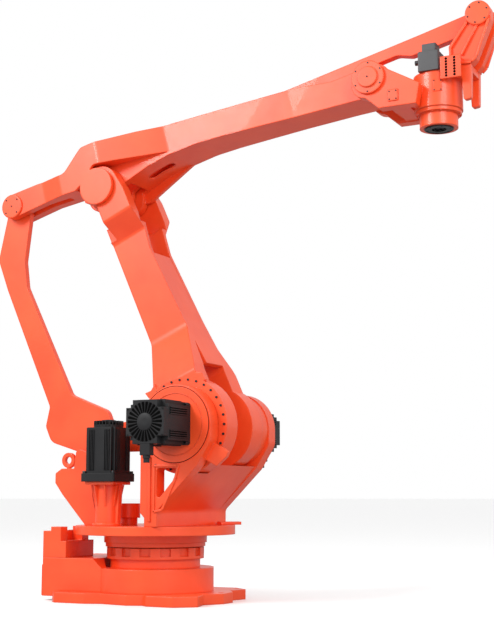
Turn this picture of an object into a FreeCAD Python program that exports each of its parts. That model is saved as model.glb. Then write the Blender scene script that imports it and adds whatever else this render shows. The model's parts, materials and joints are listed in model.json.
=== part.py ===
import FreeCAD, Part
import math
import os
import Sketcher

# Four-axis palletizing robot: base, turret, lower arm, linked forearm, level wrist and tool flange.
# Frame: millimetres, +X forward, +Z up, origin on the turning axis at the floor.  The near side is -Y.
# Each link of the arm is drawn in its own frame and placed at its pivot in the rest pose.

DOC = FreeCAD.newDocument("palletizer")
VECTOR = FreeCAD.Vector
FAR = 3000.0

DRIVING = {
    # base
    "plate_long": 750, "plate_wide": 600, "plate_high": 45, "foot_step": 28, "anchor_x": 290,
    "anchor_y": 252, "anchor_hole": 13, "nose_hole_x": 338,
    "drum_rad": 267, "drum_top": 150, "rear_x": 467, "rear_half": 222, "rear_low": 20, "rear_top": 192,
    "box_front": 342, "box_top": 267, "back_top": 312, "back_front": 425, "post_front": 371,
    "post_top": 331, "post_wide": 52, "box_side": 5, "panel_thick": 10, "panel_top": 160,
    # slewing joint
    "core_rad": 205, "tooth_rad": 222, "tooth_low": 190, "ring_top": 240, "tooth_count": 15,
    "notch_deg": 12, "notch_deep": 14, "seat_gap": 0.3, "rim_gap": 4, "collar_low_rad": 228,
    "collar_rad": 235, "collar_step": 262, "seat_rad": 190,
    # turret
    "swivel_low": 298, "swivel_top": 338, "swivel_rad": 365, "axis_x": 283, "axis_z": 776,
    "ear_rad": 172, "ear_wall": 68, "cover_rad": 166, "cover_thick": 4, "run_gap": 5,
    "front_foot": 194, "wall_skin": 32, "wall_knee": 405, "wall_top": 606, "wall_nose": 386,
    "ear_back": 132, "sill_top": 377, "motor_side": 182, "motor_notch": 32, "motor_back": 15,
    "motor_long": 190, "flange_thick": 16, "fan_thick": 36, "yaw_x": 117, "yaw_y": 230,
    "yaw_side": 177, "yaw_body": 152, "yaw_low": 534, "yaw_flange": 36, "yaw_top": 775,
    "stand_rad": 54, "stand_head": 14, "pot_x": 82, "pot_y": 100, "pot_rad": 50, "pot_top": 437,
    "lug_near": 184, "lug_far": 144, "eye_rad": 26, "eye_wire": 9, "eye_x": 372, "eye_z": 634,
    # shoulder drives
    "shoulder_drive": 110, "elbow_drive": 85, "case_step": 20, "drive_deep": 62, "shaft_rad": 28,
    # lower arm
    "arm_long": 1250, "lean": 24.1, "hub_out": 252, "hub_in": 150, "hub_near_rad": 213,
    "hub_far_rad": 188, "far_in": 50, "far_out": 155, "arm_half": 100, "arm_in": 78, "arm_back": 78, "arm_front": 148,
    "arm_waist": 95, "arm_skin": 24, "fork_in": 122, "fork_out": 185, "fork_rad": 92,
    "fork_back": 42, "fork_front": 118, "elbow_pin": 44,
    # rear linkage
    "fore_long": 1394, "tilt": 14.0, "tail_x": 493, "tail_z": 80, "tail_rad": 61, "link_near": 134,
    "link_far": 106, "link_eye": 62, "crank_near": 72, "crank_far": 44, "crank_root": 100,
    "crank_eye": 62, "pin_rad": 22, "collar_pin": 36,
    # levelling linkage
    "tie_x": 72, "tie_z": 10, "tie_near": -8, "tie_far": 20, "web_far": 47, "tie_half": 16, "tie_eye": 26,
    "tie_pin": 15, "open_gap": 2, "head_x": 467, "head_z": 233, "bar_half": 20, "bar_eye": 20,
    "bar_top": 46, "bar_pin": 12, "head_eye": 42, "web_near": 60, "web_in": 27, "web_out": 70,
    "web_root": 42,
    # forearm
    "fore_half": 116, "tip_half": 92, "trough": 76, "floor_thick": 10, "cap_rad": 88, "cap_out": 207,
    "cap_in": 190, "prong_out": 182, "prong_in": 142, "tongue_near": 98, "tongue_far": 48,
    "tip_rad": 80, "centre_pin": 28,
    # wrist
    "cheek_out": 150, "cheek_in": 97, "cheek_rad": 78, "wrist_pin": 30, "boss_rad": 73,
    "boss_out": 162, "hub_cap_rad": 45, "hub_cap_out": 170, "tool_x": 263, "case_rad": 105,
    "case_top": 5, "case_low": 148, "ring_rad": 99, "ring_low": 165, "neck_rad": 82.5,
    "neck_low": 222, "flange_rad": 62.5, "flange_face": 225.5, "flange_deep": 30, "bolt_circle": 100,
    "bolt_hole": 4, "bolt_count": 6, "pilot_rad": 31.5, "pilot_deep": 8,
    "strut_out": 75, "strut_in": 28, "head_rad": 54, "deck_top": 18,
    "wmotor_y": 70, "wmotor_x": 255, "wmotor_side": 90, "wmotor_top": 90, "wcap_side": 62,
    "wcap_top": 128,
}


class Size:
    """A number that remembers the formula it came from, so that a property can be bound to it."""

    def __init__(self, value, text):
        self.value = float(value)
        self.text = text

    def __add__(self, other):
        other = size(other)
        return Size(self.value + other.value, f"({self.text} + {other.text})")

    def __sub__(self, other):
        other = size(other)
        return Size(self.value - other.value, f"({self.text} - {other.text})")

    def __mul__(self, other):
        other = size(other)
        return Size(self.value * other.value, f"({self.text} * {other.text})")

    def __truediv__(self, other):
        other = size(other)
        return Size(self.value / other.value, f"({self.text} / {other.text})")

    def __neg__(self):
        return Size(-self.value, f"(0 - {self.text})")

    def __radd__(self, other):
        return size(other) + self

    def __rsub__(self, other):
        return size(other) - self

    def __rmul__(self, other):
        return size(other) * self


def size(thing):
    return thing if isinstance(thing, Size) else Size(thing, f"({float(thing)})")


def sine(angle):
    return Size(math.sin(math.radians(angle.value)), f"sin({angle.text} * 1 deg)")


def cosine(angle):
    return Size(math.cos(math.radians(angle.value)), f"cos({angle.text} * 1 deg)")


class Sizes:
    """The driving dimensions, kept in the document's sheet."""

    def __init__(self, table):
        self.sheet = DOC.addObject("Spreadsheet::Sheet", "sizes")
        for row, (name, value) in enumerate(table.items(), start=1):
            self.sheet.set(f"A{row}", name)
            self.sheet.set(f"B{row}", str(value))
            self.sheet.setAlias(f"B{row}", name)
        DOC.recompute()

    def __getattr__(self, name):
        return Size(self.sheet.get(name), f"sizes.{name}")


S = Sizes(DRIVING)

# rest positions of the pivots, in the XZ plane
AXIS = (S.axis_x, S.axis_z)
ELBOW = (S.axis_x - S.arm_long * sine(S.lean), S.axis_z + S.arm_long * cosine(S.lean))
WRIST = (ELBOW[0] + S.fore_long * cosine(S.tilt), ELBOW[1] + S.fore_long * sine(S.tilt))
TAIL_DX = -(S.tail_x * cosine(S.tilt)) - S.tail_z * sine(S.tilt)
TAIL_DZ = S.tail_z * cosine(S.tilt) - S.tail_x * sine(S.tilt)
CRANK_END = (S.axis_x + TAIL_DX, S.axis_z + TAIL_DZ)
TIE_FOOT = (S.axis_x - S.tie_x, S.axis_z + S.tie_z)
BAR_FOOT = (ELBOW[0] + S.head_x, ELBOW[1] + S.head_z)

# planes across the robot that several pieces share
EAR_IN = S.hub_out + S.run_gap
EAR_OUT = EAR_IN + S.ear_wall
COVER_OUT = EAR_OUT + S.cover_thick


# ---------------------------------------------------------------- sketches

def bind(sketch, constraint, amount):
    index = sketch.addConstraint(constraint)
    if "sizes." in amount.text:
        sketch.setExpression(f"Constraints[{index}]", amount.text)


def fix_point(sketch, geo, pos, u, v):
    """Tie one point of a sketch to its place, measured from the sketch's origin."""
    for amount, kind, axis in ((u, "DistanceX", -2), (v, "DistanceY", -1)):
        if abs(amount.value) < 1e-9:
            sketch.addConstraint(Sketcher.Constraint("PointOnObject", geo, pos, axis))
        else:
            bind(sketch, Sketcher.Constraint(kind, -1, 1, geo, pos, amount.value), amount)


def corner_arc(before, here, after, radius):
    """Tangent points, centre and turn of the arc that rounds a corner."""
    to_before = (before - here).normalize()
    to_after = (after - here).normalize()
    half = to_before.getAngle(to_after) / 2
    run = radius / math.tan(half)
    centre = here + (to_before + to_after).normalize() * (radius / math.sin(half))
    turn = to_before.cross(to_after).z
    return here + to_before * run, here + to_after * run, centre, turn < 0


def outline(sketch, corners):
    """A closed outline.  A corner is (u, v) or (u, v, radius), and each one is fully constrained."""
    corners = [[size(part) for part in corner] for corner in corners]
    points = [VECTOR(corner[0].value, corner[1].value, 0) for corner in corners]
    count = len(corners)
    arrive, leave, arcs = list(points), list(points), {}
    for i, corner in enumerate(corners):
        if len(corner) == 3:
            arrive[i], leave[i], centre, left_turn = corner_arc(
                points[i - 1], points[i], points[(i + 1) % count], corner[2].value)
            first, last = (arrive[i], leave[i]) if left_turn else (leave[i], arrive[i])
            start = math.atan2(first.y - centre.y, first.x - centre.x)
            end = math.atan2(last.y - centre.y, last.x - centre.x)
            circle = Part.Circle(centre, VECTOR(0, 0, 1), corner[2].value)
            arcs[i] = (sketch.addGeometry(Part.ArcOfCircle(circle, start, end)), left_turn)
    for i in range(count):
        run = arrive[(i + 1) % count] - leave[i]
        if run.dot(points[(i + 1) % count] - points[i]) <= 0:
            raise ValueError(f"{sketch.Name}: the radii at corner {i} and the next one overlap")
    lines = [sketch.addGeometry(Part.LineSegment(leave[i], arrive[(i + 1) % count])) for i in range(count)]
    for i, corner in enumerate(corners):
        if i in arcs:
            round_corner(sketch, lines[i - 1], lines[i], arcs[i], corner, points[i])
        else:
            sketch.addConstraint(Sketcher.Constraint("Coincident", lines[i - 1], 2, lines[i], 1))
            fix_point(sketch, lines[i], 1, corner[0], corner[1])


def round_corner(sketch, line_in, line_out, arc, corner, point):
    geo, left_turn = arc
    first, last = (1, 2) if left_turn else (2, 1)
    mark = sketch.addGeometry(Part.Point(point), True)
    sketch.addConstraint([
        Sketcher.Constraint("Tangent", line_in, 2, geo, first),
        Sketcher.Constraint("Tangent", geo, last, line_out, 1),
        Sketcher.Constraint("PointOnObject", mark, 1, line_in),
        Sketcher.Constraint("PointOnObject", mark, 1, line_out),
    ])
    bind(sketch, Sketcher.Constraint("Radius", geo, corner[2].value), corner[2])
    fix_point(sketch, mark, 1, corner[0], corner[1])


def circle(sketch, u, v, radius):
    u, v, radius = size(u), size(v), size(radius)
    geo = sketch.addGeometry(Part.Circle(VECTOR(u.value, v.value, 0), VECTOR(0, 0, 1), radius.value))
    fix_point(sketch, geo, 3, u, v)
    bind(sketch, Sketcher.Constraint("Radius", geo, radius.value), radius)


def lever(sketch, end_a, radius_a, end_b, radius_b):
    """Two round ends joined by their outer tangents."""
    ends = [VECTOR(size(u).value, size(v).value, 0) for u, v in (end_a, end_b)]
    radii = [size(radius_a), size(radius_b)]
    along = ends[1] - ends[0]
    heading = math.atan2(along.y, along.x)
    swing = math.acos((radii[0].value - radii[1].value) / along.Length)
    upper, lower = heading + swing, heading - swing
    spans = ((upper, lower + 2 * math.pi), (lower, upper))
    arcs = []
    for end, radius, (start, stop) in zip(ends, radii, spans):
        ring = Part.Circle(end, VECTOR(0, 0, 1), radius.value)
        arcs.append(sketch.addGeometry(Part.ArcOfCircle(ring, start, stop)))

    def rim(index, angle):
        return ends[index] + VECTOR(math.cos(angle), math.sin(angle), 0) * radii[index].value

    low = sketch.addGeometry(Part.LineSegment(rim(0, lower), rim(1, lower)))
    high = sketch.addGeometry(Part.LineSegment(rim(1, upper), rim(0, upper)))
    sketch.addConstraint([
        Sketcher.Constraint("Tangent", arcs[0], 2, low, 1),
        Sketcher.Constraint("Tangent", low, 2, arcs[1], 1),
        Sketcher.Constraint("Tangent", arcs[1], 2, high, 1),
        Sketcher.Constraint("Tangent", high, 2, arcs[0], 1),
    ])
    for geo, place, radius in zip(arcs, (end_a, end_b), radii):
        fix_point(sketch, geo, 3, size(place[0]), size(place[1]))
        bind(sketch, Sketcher.Constraint("Radius", geo, radius.value), radius)


# ---------------------------------------------------------------- features

class Piece:
    """One sub-part: a PartDesign body that grows by pads and is cut by pockets.

    The planes are "XY", "XZ" and "YZ".  A feature runs from low to high along the plane's third axis.
    """

    def __init__(self, name, place=(0, 0), across=0, tilt=None):
        self.body = DOC.addObject("PartDesign::Body", name)
        self.body.Label = name
        angle = 0 if tilt is None else tilt.value
        spot = VECTOR(size(place[0]).value, size(across).value, size(place[1]).value)
        self.body.Placement = FreeCAD.Placement(spot, FreeCAD.Rotation(VECTOR(0, -1, 0), angle))
        for axis, amount in zip("xyz", (place[0], across, place[1])):
            if isinstance(amount, Size):
                self.body.setExpression(f"Placement.Base.{axis}", amount.text)
        if tilt is not None:
            self.body.setExpression("Placement.Rotation.Angle", tilt.text)
        PIECES.append(self.body)

    def sketch(self, plane, level):
        made = self.body.newObject("Sketcher::SketchObject", f"{self.body.Name}_sketch")
        origin = [part for part in self.body.Origin.OriginFeatures if part.Role == f"{plane}_Plane"]
        made.AttachmentSupport = (origin[0], [""])
        made.MapMode = "FlatFace"
        made.setExpression("AttachmentOffset.Base.z", level.text)
        return made

    def pad(self, plane, low, high, *drawings):
        low, high = size(low), size(high)
        level = -high if plane == "XZ" else low
        return self.extrude("PartDesign::Pad", plane, level, high - low, drawings)

    def pocket(self, plane, low, high, *drawings):
        low, high = size(low), size(high)
        level = -low if plane == "XZ" else high
        before = self.body.Shape.Volume
        cut = self.extrude("PartDesign::Pocket", plane, level, high - low, drawings)
        if not self.body.Shape.Volume < before:
            raise RuntimeError(f"a pocket of {self.body.Name} cut nothing")
        return cut

    def extrude(self, kind, plane, level, length, drawings):
        sketch = self.sketch(plane, level)
        for draw, *given in drawings:
            draw(sketch, *given)
        feature = self.body.newObject(kind, f"{self.body.Name}_{kind[12:].lower()}")
        feature.Profile = sketch
        feature.setExpression("Length", length.text)
        sketch.Visibility = False
        DOC.recompute()
        return feature

    def turn(self, corners):
        """A solid of revolution about the body's Z axis: corners are (radius, height)."""
        sketch = self.sketch("XZ", size(0))
        outline(sketch, corners)
        feature = self.body.newObject("PartDesign::Revolution", f"{self.body.Name}_turned")
        feature.Profile = sketch
        feature.ReferenceAxis = (sketch, ["V_Axis"])
        feature.Angle = 360
        DOC.recompute()
        return feature

    def ring_pattern(self, feature, count):
        pattern = self.body.newObject("PartDesign::PolarPattern", f"{self.body.Name}_pattern")
        pattern.Originals = [feature]
        axis = [part for part in self.body.Origin.OriginFeatures if part.Role == "Z_Axis"]
        pattern.Axis = (axis[0], [""])
        pattern.Angle = 360
        pattern.Occurrences = int(count.value)
        pattern.setExpression("Occurrences", count.text)
        self.body.Tip = pattern
        DOC.recompute()


PIECES = []


def box(sketch, u_low, u_high, v_low, v_high, radius=None):
    rest = () if radius is None else (radius,)
    outline(sketch, [(u_low, v_low, *rest), (u_high, v_low, *rest), (u_high, v_high, *rest), (u_low, v_high, *rest)])


def notched_square(sketch, u, v, side, notch):
    """A square with its four corners cut out, as a servo motor's housing has."""
    half, inner = side / 2, side / 2 - notch
    steps = [(-half, -inner), (-inner, -inner), (-inner, -half), (inner, -half), (inner, -inner),
             (half, -inner), (half, inner), (inner, inner), (inner, half), (-inner, half),
             (-inner, inner), (-half, inner)]
    outline(sketch, [(u + a, v + b) for a, b in steps])


# ---------------------------------------------------------------- base

def base_plate():
    long, wide, step = S.plate_long / 2, S.plate_wide / 2, S.foot_step
    near = [(-long, -wide + step), (-long + step, -wide), (-187, -wide), (-119, -wide + step), (29, -wide),
            (97, -wide + step), (130, -wide), (264, -wide), (long - step, -wide + 2.5 * step),
            (long - 2 * step, -130), (long, -45)]
    far = [(u, -size(v)) for u, v in reversed(near)]
    plate = Piece("base_plate")
    plate.pad("XY", 0, S.plate_high, (outline, near + far))
    holes = [(circle, a * S.anchor_x, b * S.anchor_y, S.anchor_hole) for a in (-1, 1) for b in (-1, 1)]
    plate.pocket("XY", 0, S.plate_high, *holes, (circle, S.nose_hole_x, 0, S.anchor_hole))


def base_casting():
    casting = Piece("base_casting")
    casting.pad("XY", S.plate_high, S.drum_top, (circle, 0, 0, S.drum_rad))
    back = -S.plate_long / 2
    profile = [(-S.rear_x, S.rear_low), (back - 2, S.rear_low), (back - 2, S.plate_high), (-150, S.plate_high),
               (-150, S.drum_top), (-195, S.rear_top), (-S.rear_x, S.rear_top)]
    casting.pad("XZ", -S.rear_half, S.rear_half, (outline, profile))
    casting.pocket("XY", S.drum_top, S.rear_top, (circle, 0, 0, S.tooth_rad + 2 * S.run_gap))


def connection_box():
    part = Piece("connection_box")
    profile = [(-S.rear_x, S.rear_top), (-S.box_front, S.rear_top), (-S.box_front, S.box_top),
               (-S.back_front, S.box_top), (-S.back_front, S.back_top), (-S.rear_x, S.back_top)]
    part.pad("XZ", -S.rear_half, S.box_side, (outline, profile))
    for low in (-S.rear_half, S.box_side - S.post_wide):
        part.pad("XY", S.box_top - 1, S.post_top,
                 (box, -S.back_front, -S.post_front, low, low + S.post_wide))


def connector_panel():
    part = Piece("connector_panel")
    back = -S.rear_x - S.panel_thick
    part.pad("YZ", back, -S.rear_x, (box, -S.rear_half + 8, -20, S.rear_low, S.panel_top, 6))


def castellated_ring():
    ring = Piece("castellated_ring")
    ring.pad("XY", S.drum_top, S.ring_top, (circle, 0, 0, S.core_rad))
    ring.pad("XY", S.tooth_low, S.ring_top, (circle, 0, 0, S.tooth_rad))
    half = S.tooth_rad * sine(S.notch_deg / 2)
    notch = ring.pocket("XY", S.tooth_low + 14, S.ring_top,
                        (box, S.tooth_rad - S.notch_deep, S.tooth_rad + 20, -half, half))
    ring.ring_pattern(notch, S.tooth_count)


# ---------------------------------------------------------------- turret

def slew_collar():
    collar = Piece("slew_collar")
    seat, rim = S.ring_top + S.seat_gap, S.ring_top + S.rim_gap
    collar.turn([(0, seat), (S.seat_rad, seat), (S.seat_rad, rim), (S.collar_low_rad, rim),
                 (S.collar_low_rad, S.collar_step), (S.collar_rad, S.collar_step),
                 (S.collar_rad, S.swivel_low), (0, S.swivel_low)])


def swivel_plate():
    plate = Piece("swivel_plate")
    plate.pad("XY", S.swivel_low, S.swivel_top, (circle, 0, 0, S.swivel_rad))


def front_stop():
    stop = Piece("front_stop")
    stop.pad("XY", S.swivel_top, S.swivel_top + 14,
             (outline, [(249, 168), (325, 232, 6), (281, 286, 6), (201, 223)]))


def ear_outline():
    left, right, top = S.axis_x - S.ear_rad, S.axis_x + S.ear_rad, S.axis_z + S.ear_rad
    return [(S.ear_back, S.swivel_top), (S.front_foot, S.swivel_top), (S.front_foot, S.wall_knee, 30),
            (S.wall_nose, S.wall_top - 10, 30), (right, S.axis_z - 70, 60), (right, top, S.ear_rad - 2),
            (left, top, S.ear_rad - 2), (left, S.sill_top + 21, 8), (S.ear_back, S.sill_top, 8)]


def turret_casting():
    turret = Piece("turret_casting")
    turret.pad("XZ", -EAR_OUT, -EAR_IN, (outline, ear_outline()))
    turret.pad("XZ", EAR_IN, EAR_OUT, (outline, ear_outline()))
    skin = S.wall_skin
    wall = [(S.front_foot - skin, S.swivel_top), (S.front_foot, S.swivel_top), (S.front_foot, S.wall_knee, 30),
            (S.wall_nose, S.wall_top), (S.wall_nose - skin - 10, S.wall_top), (S.front_foot - skin, S.wall_knee + 12)]
    turret.pad("XZ", -EAR_IN, EAR_IN, (outline, wall))
    turret.pocket("XZ", -EAR_IN, -S.hub_in + S.run_gap,
                  (circle, S.axis_x, S.axis_z, S.hub_near_rad + S.run_gap))
    turret.pocket("XZ", S.far_in - S.run_gap, S.far_out + S.run_gap,
                  (circle, S.axis_x, S.axis_z, S.hub_far_rad + S.run_gap))
    bumper = [(140, -70), (201, -99), (233, -120), (224, -140), (178, -180), (120, -150)]
    turret.pad("XZ", -EAR_IN - 24, -EAR_IN, (outline, [(S.axis_x + u, S.axis_z + v) for u, v in bumper]))
    window = [(S.ear_back + 60, S.wall_knee + 40, 12), (S.axis_x + 10, 558, 12), (S.axis_x + 10, 590, 14),
              (S.ear_back + 60, 590, 14)]
    turret.pocket("XZ", -EAR_OUT, -EAR_IN, (outline, window))
    turret.pocket("XZ", EAR_IN, EAR_OUT, (outline, window))


def drives():
    """The two reducers inside the ears, and the covers outside them."""
    near = Piece("shoulder_reducer", AXIS)
    near.pad("XZ", -EAR_IN, -EAR_IN + S.drive_deep, (circle, 0, 0, S.shoulder_drive))
    far = Piece("elbow_reducer", AXIS)
    root = S.far_out + S.run_gap
    far.pad("XZ", root, EAR_IN, (circle, 0, 0, S.hub_far_rad - S.case_step))
    far.pad("XZ", root - S.drive_deep, root, (circle, 0, 0, S.elbow_drive))
    far.pocket("XZ", root - S.drive_deep, EAR_IN, (circle, 0, 0, S.shaft_rad + S.seat_gap))
    for name, low in (("shoulder_cover", -COVER_OUT), ("elbow_cover", EAR_OUT)):
        cover = Piece(name, AXIS)
        cover.pad("XZ", low, low + S.cover_thick, (circle, 0, 0, S.cover_rad))


def side_motor(name, side):
    """A servo motor standing out of an ear; side is -1 for the near one and 1 for the far one."""
    centre = (S.axis_x - S.motor_back, S.axis_z) if side < 0 else AXIS
    motor = Piece(f"{name}_motor", centre)
    half = S.motor_side / 2
    spans = ((COVER_OUT, COVER_OUT + S.flange_thick), (COVER_OUT + S.flange_thick, COVER_OUT + S.motor_long))
    flange, body = [sorted((side * low, side * high), key=lambda end: end.value) for low, high in spans]
    motor.pad("XZ", *flange, (box, -half, half, -half, half, 12))
    motor.pad("XZ", *body, (notched_square, size(0), size(0), S.motor_side, S.motor_notch * 0.5))
    fan = Piece(f"{name}_fan_cover", centre)
    root = COVER_OUT + S.motor_long
    ends = sorted((side * root, side * (root + S.fan_thick)), key=lambda end: end.value)
    fan.pad("XZ", *ends, (notched_square, size(0), size(0), S.motor_side, S.motor_notch))


def yaw_drive():
    centre = (-S.yaw_x, -S.yaw_y)
    stand = Piece("yaw_motor_stand")
    head = S.yaw_body / 2
    neck = S.yaw_low - S.stand_head
    stand.pad("XY", S.swivel_top, neck, (circle, *centre, S.stand_rad))
    stand.pad("XY", neck, S.yaw_low, (box, centre[0] - head, centre[0] + head, centre[1] - head,
                                      centre[1] + head, 10))
    rib = [(-S.yaw_x + S.stand_rad - 10, S.swivel_top), (-S.yaw_x + S.stand_rad + 8, S.swivel_top),
           (-S.yaw_x + head - 6, neck), (-S.yaw_x + S.stand_rad - 10, neck)]
    stand.pad("XZ", -S.yaw_y - 14, -S.yaw_y + 14, (outline, rib))
    motor = Piece("yaw_motor")
    half, flange_top = S.yaw_side / 2, S.yaw_low + S.yaw_flange
    motor.pad("XY", S.yaw_low, flange_top, (box, centre[0] - half, centre[0] + half, centre[1] - half,
                                            centre[1] + half, 10))
    motor.pad("XY", flange_top, S.yaw_top, (notched_square, *centre, S.yaw_body, S.motor_notch * 0.4))
    cap = Piece("yaw_fan_cover")
    cap.pad("XY", S.yaw_top, S.yaw_top + 12, (circle, *centre, 66))
    cap.pad("XY", S.yaw_top + 12, S.yaw_top + 30, (circle, *centre, 46))


def reducer_pot():
    pot = Piece("reducer_pot")
    centre = (-S.pot_x, -S.pot_y)
    pot.pad("XY", S.swivel_top, S.swivel_top + 34, (circle, *centre, S.pot_rad - 12))
    pot.pad("XY", S.swivel_top + 34, S.pot_top, (circle, *centre, S.pot_rad))


def lifting_lug():
    lug = Piece("lifting_lug")
    left, low, top = -S.eye_x - 62, 480, S.eye_z - 38
    profile = [(-265, S.swivel_top), (-195, S.swivel_top), (-228, 470), (-228, 660, 20), (-320, 690, 20), (-332, top),
               (-400, top, 12), (left, top - 22, 8), (left, low + 50, 10), (left + 42, low - 4, 6)]
    lug.pad("XZ", -S.lug_near, -S.lug_far, (outline, profile))


def lifting_eye():
    eye = Piece("lifting_eye", (-S.eye_x, S.eye_z), -(S.lug_near + S.lug_far) / 2)
    eye.pad("XZ", -S.eye_wire, S.eye_wire, (circle, 0, 0, S.eye_rad + S.eye_wire),
            (circle, 0, 0, S.eye_rad - S.eye_wire))
    eye.pad("XY", -38, -S.eye_rad + 1, (circle, 0, 0, S.eye_wire + 2))


def tie_post():
    post = Piece("tie_rod_post", (0, 0))
    foot_x, foot_z = TIE_FOOT
    half = S.tie_eye + 4
    near, far = S.tie_near - 30, S.tie_near - 6
    post.pad("XZ", near, far, (outline, [(15, S.swivel_top), (122, S.swivel_top), (foot_x + half, foot_z - 120, 60),
                                         (foot_x + half, foot_z + half, half - 1), (foot_x - half, foot_z + half, half - 1),
                                         (foot_x - half, foot_z - 90, 60)]))
    post.pad("XZ", far, S.tie_far, (circle, foot_x, foot_z, S.tie_pin))


# ---------------------------------------------------------------- lower arm

def near_front_view():
    """Front view of the near side of the lower arm: (across, along), from the hub to the fork."""
    top = S.arm_long + 140
    return [(-S.hub_out, 0), (-S.hub_out, 205, 30), (-S.arm_half, 455, 60), (-S.arm_half, 985, 20),
            (-S.fork_out, 1075, 20), (-S.fork_out, top), (-S.fork_in, top), (-S.fork_in, 1110, 20),
            (-S.arm_in, 1020, 20), (-S.arm_in, 440, 60), (-S.hub_in, 215, 30), (-S.hub_in, 0)]


def far_front_view():
    top = S.arm_long + 140
    return [(S.far_out, 0), (S.far_out, 205, 30), (S.arm_half, 345, 60), (S.arm_half, 985, 20),
            (S.fork_out, 1075, 20), (S.fork_out, top), (S.fork_in, top), (S.fork_in, 1110, 20),
            (S.arm_in, 1020, 20), (S.arm_in, 330, 60), (S.far_in, 225, 30), (S.far_in, 0)]


def lower_arm():
    arm = Piece("lower_arm_casting", AXIS, 0, S.lean)
    reach = S.hub_near_rad + 40
    arm.pad("YZ", -reach, reach, (outline, near_front_view()))
    arm.pad("YZ", -reach, reach, (outline, far_front_view()))
    top, eye = S.arm_long, S.fork_rad
    side_view = [(-S.arm_back, 0), (S.arm_front, 0), (S.arm_front, 235, 60), (120, 500, 300),
                 (S.arm_waist, 880, 120), (S.fork_front, 1060, 60), (S.fork_front, 1180, 50),
                 (eye, top + eye, eye - 2), (-eye, top + eye, eye - 2), (-eye, 1210, 20),
                 (-S.arm_back, 1150, 20)]
    rim = (box, -reach - 60, reach + 60, -60, top + 200)
    wall_in = [(S.arm_front - S.arm_skin, 250), (120 - S.arm_skin, 500), (S.arm_waist - S.arm_skin, 860),
               (S.arm_waist, 860), (120, 500), (S.arm_front, 250)]
    arm.pad("XZ", -S.arm_half + 1, S.arm_half - 1, (outline, wall_in))
    arm.pocket("XZ", -FAR / 8, FAR / 8, rim, (outline, side_view))
    notch = [(-eye - 20, 1000), (-S.fork_back, 1000), (-S.fork_back, 1168, 30), (-eye - 20, 1232)]
    for low, high in ((-S.fork_out - 1, -S.arm_half - 4), (S.arm_half + 4, S.fork_out + 1)):
        arm.pocket("XZ", low, high, (outline, notch))
    relief = [(20, 1120), (20, 1050), (56, 1016), (130, 1016), (130, 1120)]
    arm.pocket("XZ", -S.fork_in, S.fork_in, (outline, relief))
    arm.pad("XZ", -S.hub_out, -S.hub_in, (circle, 0, 0, S.hub_near_rad))
    arm.pad("XZ", S.far_in, S.far_out, (circle, 0, 0, S.hub_far_rad))
    deep = S.drive_deep - S.run_gap + S.seat_gap
    arm.pocket("XZ", -S.hub_out, -S.hub_out + deep, (circle, 0, 0, S.shoulder_drive + S.seat_gap))
    arm.pocket("XZ", S.far_out - deep, S.far_out, (circle, 0, 0, S.elbow_drive + S.seat_gap))
    arm.pocket("XZ", S.far_in, S.far_out, (circle, 0, 0, S.shaft_rad + S.run_gap))
    arm.pocket("XZ", -S.fork_out - 1, S.fork_out + 1, (circle, 0, top, S.elbow_pin + S.seat_gap))
    for tab in ([(-60, 170), (-112, 186), (-120, 214), (-88, 212), (-60, 230)],
                [(60, 170), (86, 200), (129, 198), (174, 172), (176, 137), (130, 120)]):
        arm.pad("XZ", -S.hub_out, -S.hub_out + 22, (outline, tab))


# ---------------------------------------------------------------- rear linkage

def crank():
    part = Piece("crank_lever", AXIS, 0, S.tilt)
    end = (-S.tail_x, S.tail_z)
    part.pad("XZ", -S.crank_near, -S.crank_far, (lever, end, S.crank_eye, (0, 0), S.crank_root))
    part.pad("XZ", -S.crank_far, S.hub_out - 2, (circle, 0, 0, S.shaft_rad))
    part.pocket("XZ", -S.crank_near, -S.crank_far, (circle, *end, S.pin_rad + S.seat_gap))


def crank_pin():
    pin = Piece("crank_pin", CRANK_END)
    pin.pad("XZ", -S.link_near - 3, -S.crank_far + 3, (circle, 0, 0, S.pin_rad))
    pin.pad("XZ", -S.link_far + S.seat_gap, -S.crank_near - S.seat_gap, (circle, 0, 0, S.collar_pin))


def rear_link():
    link = Piece("rear_link", CRANK_END, 0, S.lean)
    eye, top = S.link_eye, S.arm_long
    foot = 74
    path = [(-60, -foot, 60), (foot, -foot, foot - 2), (foot + 4, 105, 50), (-75, 262, 40), (-105, 860, 60),
            (-68, 985, 40), (eye, 1200, 30), (eye, top + eye, eye - 2), (-eye, top + eye, eye - 2), (-76, 1236, 20),
            (-204, 1066, 60), (-212, 900, 200), (-206, 262, 30), (-263, 186, 30), (-263, 104, 60)]
    link.pad("XZ", -S.link_near, -S.link_far, (outline, path))
    link.pocket("XZ", -S.link_near, -S.link_far, (circle, 0, 0, S.pin_rad + S.seat_gap),
                (circle, 0, top, S.pin_rad + S.open_gap))


# ---------------------------------------------------------------- levelling linkage

def in_link_frame(dx, dz):
    """A level offset, seen in the frame of a link that rises by the tilt."""
    return dx * cosine(S.tilt) + dz * sine(S.tilt), dz * cosine(S.tilt) - dx * sine(S.tilt)


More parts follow.
